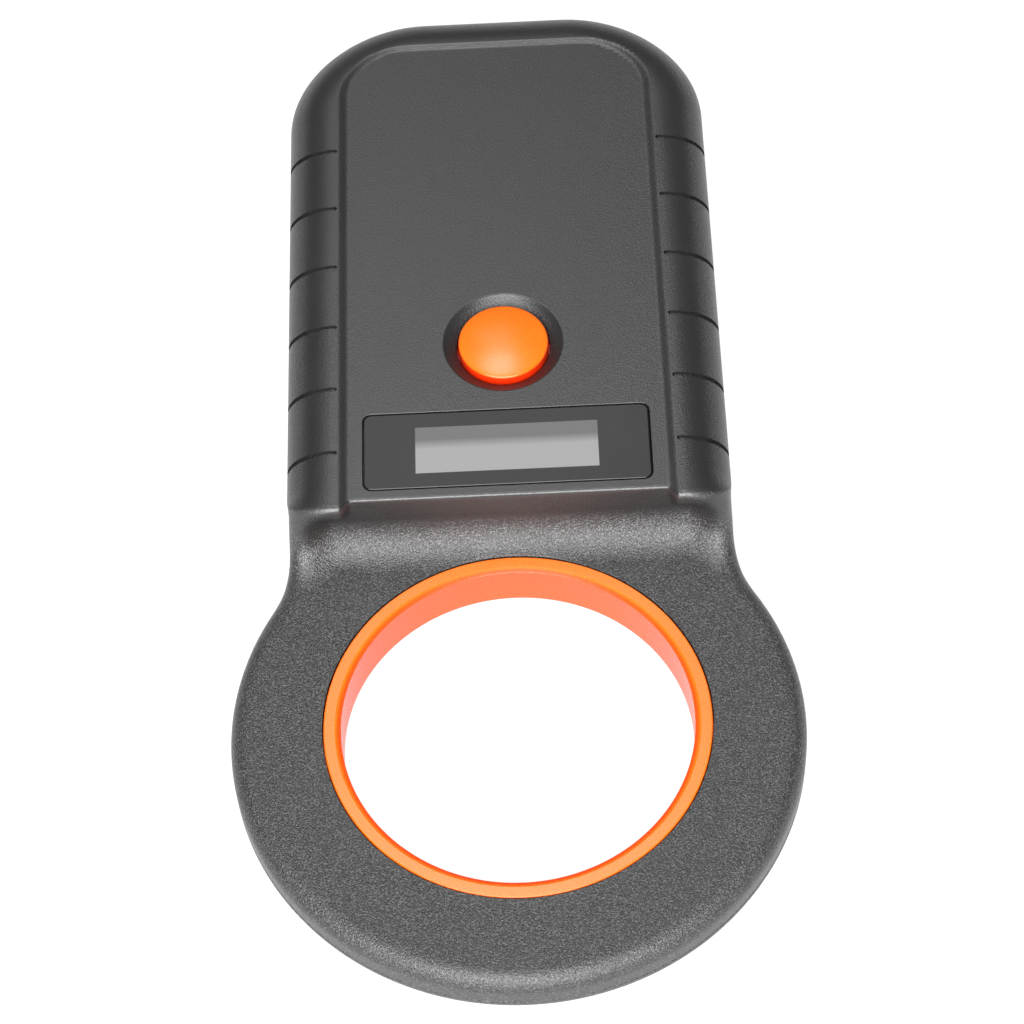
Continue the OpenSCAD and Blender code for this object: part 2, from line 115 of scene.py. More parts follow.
RISE_LOW = 9.0
RISE_HIGH = 19.0
PANEL_EDGE_R = 0.45
RAIL_EDGE_R = 1.1
SLOPE_R = 5.6
SHOULDER_BLEND = 1.4
SEAM_GROOVE = 0.15
SEAM_HALF = 0.2
SEAM_GAP = 0.02

# Openings and trim, in millimetres
LINER_HOLE_R = 27.47
LENS_GAP = 0.14
LENS_CORNER = 1.2
POCKET_Z = 17.55
WINDOW = (26.4, 7.97)
DISH_R = 8.86
DISH_DEPTH = 1.3
BUTTON_HOLE_R = 6.92
GROOVE_COUNT = 6
GROOVE_PITCH = 11.25
GROOVE_FAR_Y = 53.33
GROOVE_HALF = 0.36
GROOVE_DEPTH = 0.5
GROOVE_UNDERCUT = 0.35
GROOVE_INNER = 24.5
GROOVE_END = 0.45
SCREW_X = 27.4
SCREW_YS = (-3.0, 60.7)
LOOP_SCREW_R = 36.4
LOOP_SCREW_ANGLES = (-45, -135)

# Grids of the casing's solids, in millimetres, with (start, end, spacing) of their closer lines
SKIN_SPACING = 0.68
CORE_SPACING = 1.2
FINE_X = [(-25.4, -22.6, 0.25), (22.6, 25.4, 0.25)]
FINE_Y = [(-14.4, -10.2, 0.2), (72.6, 75.6, 0.3)]
FINE_Z = [(0, 1.2, 0.3), (2.55, 3.15, 0.1), (17.3, 19.1, 0.25)]
GRID_MARGIN = 1.0
GRID_SHIFT = 0.037
SKIN = 1.3
CAD_INSET = 1.15


# ---------------------------------------------------------------- the casing as a field

def step(t):
    """Rises smoothly from 0 to 1 as t does."""
    t = np.clip(t, 0, 1)
    return t * t * (3 - 2 * t)


def rounded_meet(a, b, ra, rb):
    """Inside both a and b, their shared edge rounded to a quarter ellipse."""
    p = 1 + a / ra
    q = 1 + b / rb
    rim = np.hypot(np.maximum(p, 0), np.maximum(q, 0))
    return (rim + np.minimum(np.maximum(p, q), 0) - 1) * np.minimum(ra, rb)


def filleted_join(a, b, r):
    """Inside a or b, the hollow between them filled to radius r."""
    hollow = np.hypot(np.maximum(r - a, 0), np.maximum(r - b, 0))
    return np.maximum(r, np.minimum(a, b)) - hollow


def soft_join(a, b, k):
    """Inside a or b, blended where the two are within k of each other."""
    k = np.maximum(k, 1e-6)
    h = np.maximum(k - np.abs(a - b), 0) / k
    return np.minimum(a, b) - h * h * k / 4


def strip_distance(x, y, half_x, far_y, corner):
    """Distance to a strip that ends at far_y in round corners, below zero inside."""
    u = np.abs(x) - (half_x - corner)
    v = y - (far_y - corner)
    outside = np.hypot(np.maximum(u, 0), np.maximum(v, 0))
    return outside + np.minimum(np.maximum(u, v), 0) - corner


def outline(x, y):
    """Plan distance to the casing's outline, below zero inside."""
    handle = strip_distance(x, y, HANDLE_HALF, FAR_Y, CORNER_R)
    handle = np.maximum(handle, LOOP_Y - y)
    loop = np.hypot(x, y - LOOP_Y) - LOOP_R
    vx = np.abs(x) - NECK_X
    vy = y - NECK_Y
    to_loop_y = LOOP_Y - NECK_Y
    in_hollow = (vy < 0) & (vx * to_loop_y + vy * NECK_X > 0)
    return np.where(in_hollow, NECK_R - np.hypot(vx, vy), np.minimum(handle, loop))


def top_height(x, y):
    """The handle's top: rails, and the panel sunk between them by a soft step."""
    recess_width = RECESS_WIDTH - FAR_NARROWER * step((y - PANEL_FAR + PANEL_CORNER) / PANEL_CORNER)
    panel = strip_distance(x, y, PANEL_HALF, PANEL_FAR, PANEL_CORNER)
    return TOP_Z - PANEL_DEPTH * (1 - step((panel - RECESS_START) / recess_width))


def casing(x, y, z):
    """Field of the whole closed casing: zero on its outer surface, below zero inside."""
    out = outline(x, y) + SEAM_GROOVE * np.maximum(0, 1 - np.abs(z - SEAM_Z) / SEAM_HALF)
    from_middle = np.abs(x)

    # The rounding of the top edge: larger at the far end, and down to the loop's own at its foot
    far = step((y - FAR_Y) / CORNER_R + 1)
    near = step((NEAR_START - y) / NEAR_BLEND)
    rise = np.clip((z - RISE_LOW) / (RISE_HIGH - RISE_LOW), 0, 1) ** 2
    side_w = SIDE_W + (FAR_SIDE_W - SIDE_W) * far - (SIDE_W - LOOP_EDGE) * (1 - rise) * near
    side_h = SIDE_H + (FAR_SIDE_H - SIDE_H) * far - (SIDE_H - LOOP_EDGE) * (1 - rise) * near

    # The near end: the rails reach past the panel, their inner part only high up
    rail = step((from_middle - RAIL_INNER) / RAIL_BLEND)
    outer = step((from_middle - OUTER_START) / OUTER_BLEND)
    lip = rail * (1 - outer) * step((z - LIP_LOW) / (LIP_HIGH - LIP_LOW))
    end = PANEL_NEAR - RAIL_OVERHANG * (lip + outer) - y
    end_r = PANEL_EDGE_R + (RAIL_EDGE_R - PANEL_EDGE_R) * rail + (OUTER_EDGE_R - RAIL_EDGE_R) * outer
    upper = rounded_meet(z - top_height(x, y), end, end_r, end_r)

    # The slope down to the loop
    slope_r = SLOPE_R + (OUTER_SLOPE_R - SLOPE_R) * outer
    ramp = filleted_join(PANEL_NEAR - OUTER_SHIFT * outer - y, z - LOOP_Z, slope_r)
    ramp = np.maximum(ramp, z - LOOP_Z - slope_r)

    joined = rounded_meet(out, soft_join(upper, ramp, SHOULDER_BLEND * outer), side_w, side_h)
    foot = rounded_meet(out, -z, LOW_EDGE, LOW_EDGE)
    return np.maximum(joined, foot)


def casing_slope(p):
    """Gradient of the casing's field at points p, by central differences."""
    h = 0.01
    slopes = []
    for axis in range(3):
        ahead = p.copy()
        behind = p.copy()
        ahead[:, axis] += h
        behind[:, axis] -= h
        slopes.append((casing(*ahead.T) - casing(*behind.T)) / (2 * h))
    return np.stack(slopes, 1)


def grid_lines(low, high, coarse, fine_spans):
    """Grid lines from low to high, closer together inside each (start, end, spacing)."""
    edges = sorted({low, high, *(e for span in fine_spans for e in span[:2])})
    lines = [low]
    for a, b in zip(edges[:-1], edges[1:]):
        middle = (a + b) / 2
        spacing = min([s for p, q, s in fine_spans if p <= middle <= q] + [coarse])
        count = max(1, round((b - a) / spacing))
        lines += [a + (b - a) * (i + 1) / count for i in range(count)]
    return np.array(lines)


def surface_net(inset, xs, ys, zs):
    """Vertices and quads of the surface where the casing's field is -inset."""
    lines = (xs, ys, zs)
    values = casing(*np.meshgrid(xs, ys, zs, indexing="ij")) + inset
    inside = values < 0
    cells = np.array(values.shape) - 1
    total = int(np.prod(cells))
    sums = np.zeros((3, total))
    hits = np.zeros(total)
    quads = []
    for axis in range(3):
        u = np.eye(3, dtype=int)[(axis + 1) % 3]
        v = np.eye(3, dtype=int)[(axis + 2) % 3]
        along = np.eye(3, dtype=int)[axis]
        count = values.shape[axis]
        first = np.take(inside, range(count - 1), axis)
        second = np.take(inside, range(1, count), axis)
        index = np.stack(np.nonzero(first != second), 1)
        a = values[tuple(index.T)]
        b = values[tuple((index + along).T)]
        point = np.stack([lines[d][index[:, d]] for d in range(3)])
        span = lines[axis][index[:, axis] + 1] - lines[axis][index[:, axis]]
        point[axis] += span * a / (a - b)
        around = [np.ravel_multi_index((index - s).T, cells) for s in (0 * u, u, u + v, v)]
        for cell in around:
            hits += np.bincount(cell, minlength=total)
            for d in range(3):
                sums[d] += np.bincount(cell, weights=point[d], minlength=total)
        quad = np.stack(around, 1)
        backward = ~inside[tuple(index.T)]
        quad[backward] = quad[backward][:, ::-1]
        quads.append(quad)
    used = np.nonzero(hits)[0]
    number = np.full(total, -1)
    number[used] = np.arange(len(used))
    points = (sums[:, used] / hits[used]).T

    # Five steps down the slope onto the surface, none longer than 0.25 mm
    for _ in range(5):
        value = casing(*points.T) + inset
        slope = casing_slope(points)
        move = (value / np.maximum((slope ** 2).sum(1), 0.05))[:, None] * slope
        length = np.linalg.norm(move, axis=1)[:, None]
        points -= move * np.minimum(1, 0.25 / np.maximum(length, 1e-9))
    return points, number[np.concatenate(quads)]


# ---------------------------------------------------------------- mesh helpers

def add_mesh(name, points_mm, faces):
    mesh = bpy.data.meshes.new(name)
    mesh.from_pydata((np.asarray(points_mm) * MM).tolist(), [], [list(map(int, f)) for f in faces])
    mesh.validate()
    piece = bpy.data.objects.new(name, mesh)
    bpy.context.scene.collection.objects.link(piece)
    return piece


def clean(piece, weld=False, outward=False):
    """Welds points that coincide, turns the faces outward, or both."""
    bm = bmesh.new()
    bm.from_mesh(piece.data)
    if weld:
        bmesh.ops.remove_doubles(bm, verts=bm.verts, dist=1e-7)
    if outward:
        bmesh.ops.recalc_face_normals(bm, faces=bm.faces)
    bm.to_mesh(piece.data)
    bm.free()
    return piece


def combine(target, tools, operation):
    """Applies solid operations to target and removes the tools."""
    for tool in tools:
        change = target.modifiers.new("change", "BOOLEAN")
        change.operation = operation
        change.solver = "MANIFOLD"
        change.object = tool
    shown = target.evaluated_get(bpy.context.evaluated_depsgraph_get())
    mesh = bpy.data.meshes.new_from_object(shown)
    target.modifiers.clear()
    target.data = mesh
    for tool in tools:
        bpy.data.objects.remove(tool)
    return target


def cut(target, *tools):
    return combine(target, tools, "DIFFERENCE")


def keep_inside(target, tool):
    return combine(target, [tool], "INTERSECT")


def join(target, *tools):
    return combine(target, tools, "UNION")


def copy_of(piece, name):
    twin = bpy.data.objects.new(name, piece.data.copy())
    bpy.context.scene.collection.objects.link(twin)
    return twin


def welded_node(node, name):
    """A closed copy of a CAD node's mesh."""
    return clean(copy_of(frame["nodes"][node], name), weld=True)


def block(low, high):
    """A plain box used as a tool, from its corners in millimetres."""
    points = [(x, y, z) for x in (low[0], high[0]) for y in (low[1], high[1]) for z in (low[2], high[2])]
    faces = [(0, 1, 3, 2), (4, 6, 7, 5), (0, 4, 5, 1), (2, 3, 7, 6), (0, 2, 6, 4), (1, 5, 7, 3)]
    return add_mesh("tool", points, faces)


def stacked(name, rings):
    """A closed solid through rings of points, all with the same count."""
    count = len(rings[0])
    points = [p for ring in rings for p in ring]
    faces = []
    for k in range(len(rings) - 1):
        for i in range(count):
            j = (i + 1) % count
            faces.append((k * count + i, k * count + j, (k + 1) * count + j, (k + 1) * count + i))
    faces.append(tuple(reversed(range(count))))
    faces.append(tuple(range((len(rings) - 1) * count, len(rings) * count)))
    return add_mesh(name, points, faces)


def circle(centre, r, z, count=160):
    turn = 2 * math.pi / count
    return [
        (centre[0] + r * math.cos(i * turn), centre[1] + r * math.sin(i * turn), z)
        for i in range(count)
    ]


def rectangle(centre, half_x, half_y, corner, z, steps=10):
    """Points round a rectangle with round corners."""
    ring = []
    for quarter in range(4):
        sx = (1, -1, -1, 1)[quarter]
        sy = (1, 1, -1, -1)[quarter]
        for i in range(steps + 1):
            a = math.pi / 2 * (quarter + i / steps)
            x = sx * (half_x - corner) + corner * math.cos(a)
            y = sy * (half_y - corner) + corner * math.sin(a)
            ring.append((centre[0] + x, centre[1] + y, z))
    return ring


def flared_hole(outline_at, low, high, lip, top=1.0, steps=5):
    """A cutter from low to high whose rim at high is rounded by lip."""
    rings = [outline_at(0, low)]
    for i in range(steps + 1):
        a = math.pi / 2 * i / steps
        rings.append(outline_at(lip * (1 - math.cos(a)), high - lip + lip * math.sin(a)))
    rings.append(outline_at(lip + top * 0.02, high + top))
    return stacked("tool", rings)


def filleted(points, steps=6):
    """An outline's points (u, v, radius) with each corner turned into an arc of its radius."""
    result = []
    count = len(points)
    for i, (u, v, r) in enumerate(points):
        here = np.array([u, v], float)
        if r <= 0:
            result.append(tuple(here))
            continue
        before = np.array(points[i - 1][:2], float) - here
        after = np.array(points[(i + 1) % count][:2], float) - here
        a = before / np.linalg.norm(before)
        b = after / np.linalg.norm(after)
        half = math.acos(np.clip(a @ b, -1, 1)) / 2
        reach = r / math.tan(half)
        middle = here + (a + b) / np.linalg.norm(a + b) * r / math.sin(half)
        start = here + a * reach - middle
        end = here + b * reach - middle
        for k in range(steps + 1):
            t = k / steps
            spread = math.pi - 2 * half
            mix = (math.sin((1 - t) * spread) * start + math.sin(t * spread) * end) / math.sin(spread)
            result.append(tuple(middle + mix))
    return result


def lathe(name, profile, centre, count=256):
    """Turns a closed profile of (r, z) points about a vertical axis."""
    points = []
    faces = []
    size = len(profile)
    for i in range(count):
        a = 2 * math.pi * i / count
        for r, z in profile:
            points.append((centre[0] + r * math.cos(a), centre[1] + r * math.sin(a), z))
    for i in range(count):
        n = (i + 1) % count
        for k in range(size):
            m = (k + 1) % size
            if profile[k][0] == 0 and profile[m][0] == 0:
                continue
            faces.append((i * size + k, n * size + k, n * size + m, i * size + m))
    return clean(add_mesh(name, points, faces), weld=True, outward=True)


def smooth(piece, angle=32):
    """Smooth faces, with the edges sharper than the angle kept crisp."""
    mesh = piece.data
    mesh.shade_smooth()
    mesh.set_sharp_from_angle(angle=math.radians(angle))
    return piece


def flatten_flats(piece):
    """Lets the large faces set the normals, so flats beside a rounded edge stay flat."""
    weighting = piece.modifiers.new("weighting", "WEIGHTED_NORMAL")
    weighting.keep_sharp = True
    weighting.weight = 100


# ---------------------------------------------------------------- the two covers

def casing_solid(name, inset, spacing, fine_x=(), fine_y=(), fine_z=()):
    """A closed solid of the casing, its surface moved in by inset."""
    xs = grid_lines(-LOOP_R - GRID_MARGIN, LOOP_R + GRID_MARGIN, spacing, fine_x)
    ys = grid_lines(-FAR_Y - GRID_MARGIN, FAR_Y + GRID_MARGIN, spacing, fine_y)
    zs = grid_lines(-GRID_MARGIN - GRID_SHIFT, TOP_Z + GRID_MARGIN, spacing, fine_z)
    return add_mesh(name, *surface_net(inset, xs, ys, zs))


def liner_hole():
    ring = lambda grow, z: circle((0, LOOP_Y), LINER_HOLE_R + grow, z, 256)
    return flared_hole(ring, -1, LOOP_Z, 0.07, 8)


def lens_pocket():
    half = (lens_high - lens_low) / 2 + LENS_GAP
    ring = lambda grow, z: rectangle(
        (0, LENS_Y), half[0] + grow, half[1] + grow, LENS_CORNER + LENS_GAP + grow, z
    )
    return flared_hole(ring, POCKET_Z, PANEL_Z, 0.1, 1)


def window_hole():
    half = (WINDOW[0] / 2 + 0.52, WINDOW[1] / 2 + 0.52)
    return stacked("tool", [rectangle((0, LENS_Y), *half, 0.5, z) for z in (15, 18)])


def button_dish():
    """The round dish in the panel, its rim softened, and the hole in its middle."""
    low = PANEL_Z - DISH_DEPTH
    profile = filleted(
        [
            (0, low - 5, 0),
            (BUTTON_HOLE_R, low - 5, 0),
            (BUTTON_HOLE_R, low, 0.12),
            (DISH_R, PANEL_Z, 0.7),
            (DISH_R + 4, PANEL_Z, 0),
            (DISH_R + 4, PANEL_Z + 2, 0),
            (0, PANEL_Z + 2, 0),
        ]
    )

    # Outside the dish the cutter stands just clear of the panel, so the two flats never coincide
    clear = 0.002
    profile = [(r, z + clear if r > DISH_R + 0.5 and z < PANEL_Z + 1 else z) for r, z in profile]
    return lathe("tool", profile, (0, BUTTON_Y), 160)


def groove_cutter(side, y):
    """One grip groove: it follows the handle's section, with a round inner end."""
    path = []
    count = 28
    for i in range(count + 1):
        a = math.pi / 2 * i / count
        x = HANDLE_HALF - SIDE_W + SIDE_W * math.sin(a)
        z = TOP_Z - SIDE_H + SIDE_H * math.cos(a)
        n = np.array([math.sin(a) / SIDE_W, math.cos(a) / SIDE_H])
        path.append((x, z, *(n / np.linalg.norm(n))))
    start = [(GROOVE_INNER + (HANDLE_HALF - SIDE_W - GROOVE_INNER) * i / 3, TOP_Z, 0, 1) for i in range(3)]
    bottom = [(HANDLE_HALF, TOP_Z - SIDE_H - (TOP_Z - SIDE_H - LOOP_Z) * i / 4, 1, 0) for i in range(1, 5)]
    path = start + path + bottom
    rings = []
    lip = 0.1
    for x, z, nx, nz in path:
        to_go = max(0, 1 - (x - GROOVE_INNER) / GROOVE_END)
        open_share = math.sqrt(max(0.02, 1 - to_go ** 2))
        half = GROOVE_HALF * open_share
        depth = GROOVE_DEPTH * (0.55 + 0.45 * open_share)
        under = GROOVE_UNDERCUT * open_share
        section = [
            (-half - lip - 0.04, 0.9), (-half - lip, 0.02), (-half - 0.03, -0.03), (-half, -lip),
            (-half, -depth - 0.02), (-half + 0.05 * open_share, -depth - 0.06), (half + under, -depth),
            (half + under, 0.15 - depth), (half, 0), (half, 0.9),
        ]
        rings.append([(side * (x + h * nx), y + w, z + h * nz) for w, h in section])
    return clean(stacked("tool", rings), outward=True)


def usb_recess():
    """A shallow recess in the far end, and the slot through it for the charging socket."""
    half = 5.62
    depth = 0.82
    low = np.array([-half, FAR_Y - depth, usb_low[2] - 1.42])
    high = np.array([half, FAR_Y + 2, usb_low[2] + 4.82])
    slot_low = usb_low - [0.37, 0.8, 0.47]
    slot_high = usb_high + [0.37, 4, 0.37]
    return block(low, high), block(slot_low, slot_high)


def label_recess():
    gap = 0.2
    corner = 2.2
    middle = (0, (label_low[1] + label_high[1]) / 2)
    half_y = (label_high[1] - label_low[1]) / 2
    ring = lambda grow, z: rectangle(
        middle, label_high[0] + gap + grow, half_y + gap + grow, corner + grow, z
    )
    return stacked("tool", [ring(0.1, -1), ring(0.1, 0), ring(0, 0.15)])


def screw_places():
    places = [(side * SCREW_X, y) for side in (-1, 1) for y in SCREW_YS]
    for angle in LOOP_SCREW_ANGLES:
        a = math.radians(angle)
        places.append((LOOP_SCREW_R * math.cos(a), LOOP_Y + LOOP_SCREW_R * math.sin(a)))
    return places


def screw_hole(place):
    """Counterbore and clearance hole for one cover screw."""
    rim_r = 2.5
    head_r = 2.22
    shank_r = 1.22
    head_z = 1.62
    profile = [
        (0, -1), (rim_r, -1), (rim_r, 0), (head_r, 0.28), (head_r, head_z),
        (shank_r, head_z), (shank_r, 4), (0, 4),
    ]
    return lathe("tool", profile, place, 48)


def make_covers():
    """The casing cut at its seam, hollowed, and joined to what the CAD covers hold inside."""
    whole = casing_solid("front_cover_shell", 0, SKIN_SPACING, FINE_X, FINE_Y, FINE_Z)
    skin_core = casing_solid("skin_core", SKIN, CORE_SPACING)
    cad_core = casing_solid("cad_core", CAD_INSET, CORE_SPACING)
    wide = LOOP_R + 5
    long = FAR_Y + 5

    rear = copy_of(whole, "rear_cover_shell")
    keep_inside(rear, block((-wide, -long, -5), (wide, long, SEAM_Z - SEAM_GAP)))
    keep_inside(whole, block((-wide, -long, SEAM_Z + SEAM_GAP), (wide, long, TOP_Z + 5)))
    cut(rear, copy_of(skin_core, "tool"))
    cut(whole, skin_core)

    front_inside = keep_inside(welded_node("front_cover", "front_inside"), copy_of(cad_core, "tool"))
    rear_inside = keep_inside(welded_node("rear_cover", "rear_inside"), cad_core)
    join(whole, front_inside)
    join(rear, rear_inside)

    grooves = [
        groove_cutter(side, GROOVE_FAR_Y - GROOVE_PITCH * i)
        for side in (-1, 1)
        for i in range(GROOVE_COUNT)
    ]
    cut(whole, liner_hole(), lens_pocket(), window_hole(), button_dish(), *grooves, *usb_recess())

    cut(rear, liner_hole(), label_recess(), *[screw_hole(p) for p in screw_places()])
    for piece, node in ((whole, "front_cover"), (rear, "rear_cover")):
        drop_folds(piece)
        smooth(piece)
        follow_casing(piece)
        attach(piece, "casing")
        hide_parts(node)
        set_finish(piece, "black_plastic")
    return whole, rear


def drop_folds(piece):
    """Removes pairs of faces that lie back to back on the same corners."""
    bm = bmesh.new()
    bm.from_mesh(piece.data)
    by_corners = {}
    for face in bm.faces:
        by_corners.setdefault(frozenset(v.index for v in face.verts), []).append(face)
    folded = [face for faces in by_corners.values() if len(faces) > 1 for face in faces]
    bmesh.ops.delete(bm, geom=folded, context="FACES")
    bm.to_mesh(piece.data)
    bm.free()


def follow_casing(piece):
    """Sets the normals on the outer surface from the casing's field."""
    mesh = piece.data
    points = np.empty(len(mesh.vertices) * 3, np.float32)
    mesh.vertices.foreach_get("co", points)
    points = points.reshape(-1, 3).astype(float) / MM
    touching = 0.01
    near = np.abs(casing(*points.T)) < touching
    normals = np.zeros_like(points)
    normals[near] = casing_slope(points[near])
    length = np.linalg.norm(normals, axis=1)
    normals[near] /= np.maximum(length[near], 1e-9)[:, None]
    corner_vertex = np.empty(len(mesh.loops), np.int32)
    mesh.loops.foreach_get("vertex_index", corner_vertex)
    face_normal = np.empty(len(mesh.polygons) * 3, np.float32)
    mesh.polygons.foreach_get("normal", face_normal)
    face_normal = face_normal.reshape(-1, 3)
    sizes = np.empty(len(mesh.polygons), np.int32)
    mesh.polygons.foreach_get("loop_total", sizes)
    corner_face = np.repeat(np.arange(len(sizes)), sizes)
    wanted = normals[corner_vertex]
    agree = (wanted * face_normal[corner_face]).sum(1)
    least_agreement = 0.9
    wanted[agree < least_agreement] = 0
    mesh.normals_split_custom_set(wanted.tolist())


# ---------------------------------------------------------------- liner, button, lens

def make_liner():
    inner = 24.85
    outer = 27.3
    low = liner_low[2]
    high = liner_high[2]
    flange_r = liner_high[0]
    cover_wall = 2.1
    bevel_r = 0.85
    bevel_z = 0.38
    profile = filleted(
        [
            (inner, low, 0.4),
            (outer, low, 0.1),
            (outer, cover_wall, 0),
            (flange_r, cover_wall, 0.15),
            (flange_r, LOOP_Z - cover_wall, 0.15),
            (outer, LOOP_Z - cover_wall, 0),
            (outer, high, 0.2),
            (inner + bevel_r, high, 0.12),
            (inner, high - bevel_z, 0.14),
        ]
    )
    ring = lathe("loop_liner_ring", profile, (0, LOOP_Y), 320)
    return finish_piece(ring, "casing", "loop_liner", "orange_plastic")


def make_button():
    dome_r = 24.0
    dome_end = 5.9
    wall_r = 6.62
    cavity_r = 5.65
    post_r = 1.5
    flange_r = button_high[0]
    top = button_high[2]
    low = button_low[2]
    flange_z = low + 1
    roof_z = top - 2
    post_z = top - 2.6
    height = lambda r: top - dome_r + math.sqrt(dome_r ** 2 - r ** 2)
    dome = [(r, height(r), 0) for r in np.linspace(0, dome_end, 24)]
    rest = [
        (wall_r, height(wall_r), 0.42),
        (wall_r, flange_z, 0),
        (flange_r, flange_z, 0.12),
        (flange_r, low, 0.12),
        (cavity_r, low, 0),
        (cavity_r, roof_z, 0.3),
        (post_r, roof_z, 0),
        (post_r, post_z, 0),
        (0, post_z, 0),
    ]
    cap = lathe("scan_button_cap", filleted(dome + rest), (0, BUTTON_Y), 160)
    return finish_piece(cap, "button", "scan_button", "orange_plastic")


def make_lens():
    half = (lens_high - lens_low) / 2
    bevel = 0.12
    levels = ((lens_low[2], -0.05), (lens_low[2] + 0.05, 0), (lens_high[2] - bevel, 0))
    levels += ((lens_high[2] - bevel * 0.3, -bevel * 0.3), (lens_high[2], -bevel), (lens_high[2], -2 * bevel))
    rings = [
        rectangle((0, LENS_Y), half[0] + grow, half[1] + grow, LENS_CORNER + grow, z)
        for z, grow in levels
    ]
    return finish_piece(stacked("display_lens_plate", rings), "casing", "display_lens", "lens_acrylic")


def finish_piece(piece, body, node, slot):
    smooth(piece)
    flatten_flats(piece)
    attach(piece, body)
    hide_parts(node)
    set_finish(piece, slot)
    return piece


# ---------------------------------------------------------------- materials

class Look:
    """A node material on one Principled shader, built step by step."""

    def __init__(self, name, **sockets):
        self.material = bpy.data.materials.new(name)
        self.material.use_nodes = True
        self.nodes = self.material.node_tree.nodes
        self.links = self.material.node_tree.links
        self.shader = self.nodes["Principled BSDF"]
        self.place = self.nodes.new("ShaderNodeTexCoord").outputs["Object"]
        for socket, value in sockets.items():
            self.shader.inputs[socket.replace("_", " ")].default_value = value

    def put(self, value, socket):
        self.links.new(value, self.shader.inputs[socket])
        return self

    def noise(self, size_mm, detail=2.0, roughness=0.5):
        node = self.nodes.new("ShaderNodeTexNoise")
        node.inputs["Scale"].default_value = 1 / (size_mm * MM)
        node.inputs["Detail"].default_value = detail
        node.inputs["Roughness"].default_value = roughness
        self.links.new(self.place, node.inputs["Vector"])
        return node.outputs["Fac"]

    def cells(self, size_mm, feature="F1"):
        node = self.nodes.new("ShaderNodeTexVoronoi")
        node.feature = feature
        node.inputs["Scale"].default_value = 1 / (size_mm * MM)
        self.links.new(self.place, node.inputs["Vector"])
        return node.outputs["Distance"]

    def waves(self, size_mm, axis, distort=0.0):
        node = self.nodes.new("ShaderNodeTexWave")
        node.bands_direction = axis
        node.inputs["Scale"].default_value = 0.314 / (size_mm * MM)
        node.inputs["Distortion"].default_value = distort
        self.links.new(self.place, node.inputs["Vector"])
        return node.outputs["Fac"]

    def span(self, value, low, high, from_low=0.0, from_high=1.0):
        node = self.nodes.new("ShaderNodeMapRange")
        node.inputs["From Min"].default_value = from_low
        node.inputs["From Max"].default_value = from_high
        node.inputs["To Min"].default_value = low
        node.inputs["To Max"].default_value = high
        self.links.new(value, node.inputs["Value"])
        return node.outputs["Result"]

    def spread(self, value, low=0.0, high=1.0):
        """Brings a noise's usual range to low and high."""
        return self.span(value, low, high, 0.3, 0.7)

    def math(self, operation, a, b=0.5):
        node = self.nodes.new("ShaderNodeMath")
        node.operation = operation
        for value, socket in zip((a, b), node.inputs):
            if isinstance(value, (int, float)):
                socket.default_value = value
            else:
                self.links.new(value, socket)
        return node.outputs["Value"]

    def axis(self, letter):
        node = self.nodes.new("ShaderNodeSeparateXYZ")
        self.links.new(self.place, node.inputs["Vector"])
        return node.outputs[letter]

    def mix(self, factor, a, b):
        node = self.nodes.new("ShaderNodeMix")
        node.data_type = "RGBA"
        if isinstance(factor, float):
            node.inputs["Factor"].default_value = factor
        else:
            self.links.new(factor, node.inputs["Factor"])
        for value, socket in zip((a, b), (node.inputs[6], node.inputs[7])):
            if isinstance(value, tuple):
                socket.default_value = (*value, 1)
            else:
                self.links.new(value, socket)
        return node.outputs[2]

    def bump(self, height, depth_mm, strength=1.0, under=None):
        node = self.nodes.new("ShaderNodeBump")
        node.inputs["Strength"].default_value = strength
        node.inputs["Distance"].default_value = depth_mm * MM
        self.links.new(height, node.inputs["Height"])
        if under is not None:
            self.links.new(under, node.inputs["Normal"])
        return node.outputs["Normal"]

    def edges(self, low=0.51, high=0.6):
        node = self.nodes.new("ShaderNodeNewGeometry")
        return self.span(node.outputs["Pointiness"], 0.0, 1.0, low, high)


def shade(colour, factor):
    return tuple(min(1.0, c * factor) for c in colour)


def moulded(name, colour, roughness, grain_mm, depth_mm, **sockets):
    """Plain moulded plastic: mottled colour, fine grain, edges rubbed a little smoother."""
    look = Look(name, **sockets)
    broad = look.noise(9, 3)
    fine = look.noise(grain_mm, 2)
    base = look.mix(look.spread(broad), shade(colour, 0.94), shade(colour, 1.06))
    worn = look.math("MULTIPLY", look.edges(), look.span(look.noise(1.5), 0.0, 0.35, 0.35, 0.7))
    look.put(look.mix(worn, base, shade(colour, 1.3)), "Base Color")
    rough = look.spread(broad, roughness - 0.03, roughness + 0.03)
    rough = look.math("ADD", rough, look.spread(fine, -0.03, 0.03))
    look.put(look.math("SUBTRACT", rough, look.span(worn, 0, 0.06)), "Roughness")
    look.put(look.bump(fine, depth_mm), "Normal")
    return look


